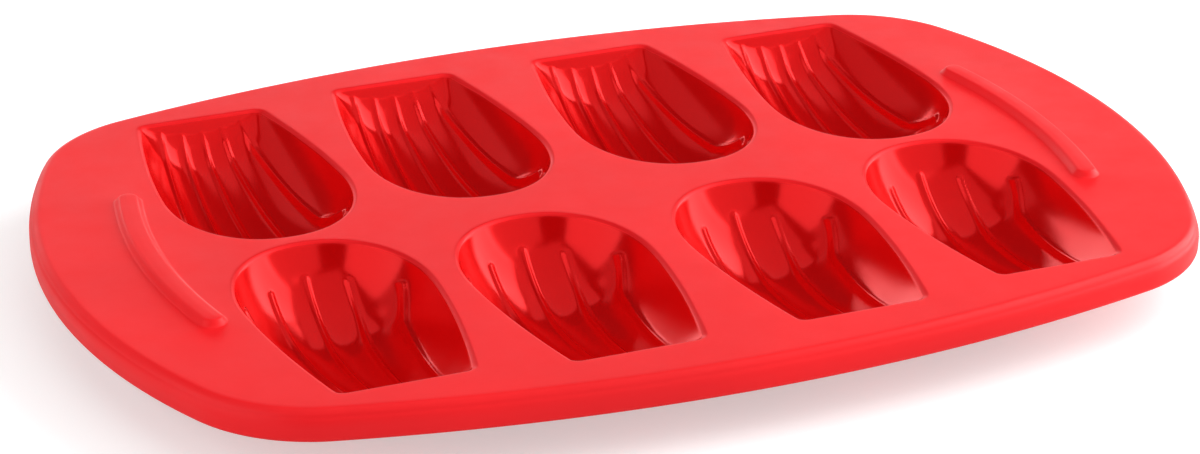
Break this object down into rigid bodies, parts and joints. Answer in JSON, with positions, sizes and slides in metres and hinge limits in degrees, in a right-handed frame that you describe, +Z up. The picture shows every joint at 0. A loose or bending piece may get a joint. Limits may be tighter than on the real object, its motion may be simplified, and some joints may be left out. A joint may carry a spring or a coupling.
{
  "type": "madeleine pan",
  "caption": "Flexible red silicone baking pan with fluted scallop-shaped cups in two rows, a thick stiffened rim and a raised grip rib at each end.",
  "frame": {"origin": "centre of the pan's outline, on the table that the cups' flat feet stand on", "axes": "+X along the pan's long side, +Y across it towards the back row, +Z up out of the cups' mouths"},
  "size_m": [0.289, 0.2036, 0.0216],
  "materials": {
    "silicone_gloss": "glossy",
    "silicone_satin": "satin",
    "ring_steel": "brushed"
  },
  "bodies": {
    "root": {"cup_back_1": "silicone_gloss", "cup_back_2": "silicone_gloss", "cup_back_3": "silicone_gloss", "cup_back_4": "silicone_gloss", "cup_front_1": "silicone_gloss", "cup_front_2": "silicone_gloss", "cup_front_3": "silicone_gloss", "cup_front_4": "silicone_gloss", "deck": "silicone_satin", "rim": "silicone_satin", "grip_left": "silicone_satin", "grip_right": "silicone_satin", "rim_ring": "ring_steel"}
  },
  "joints": []
}
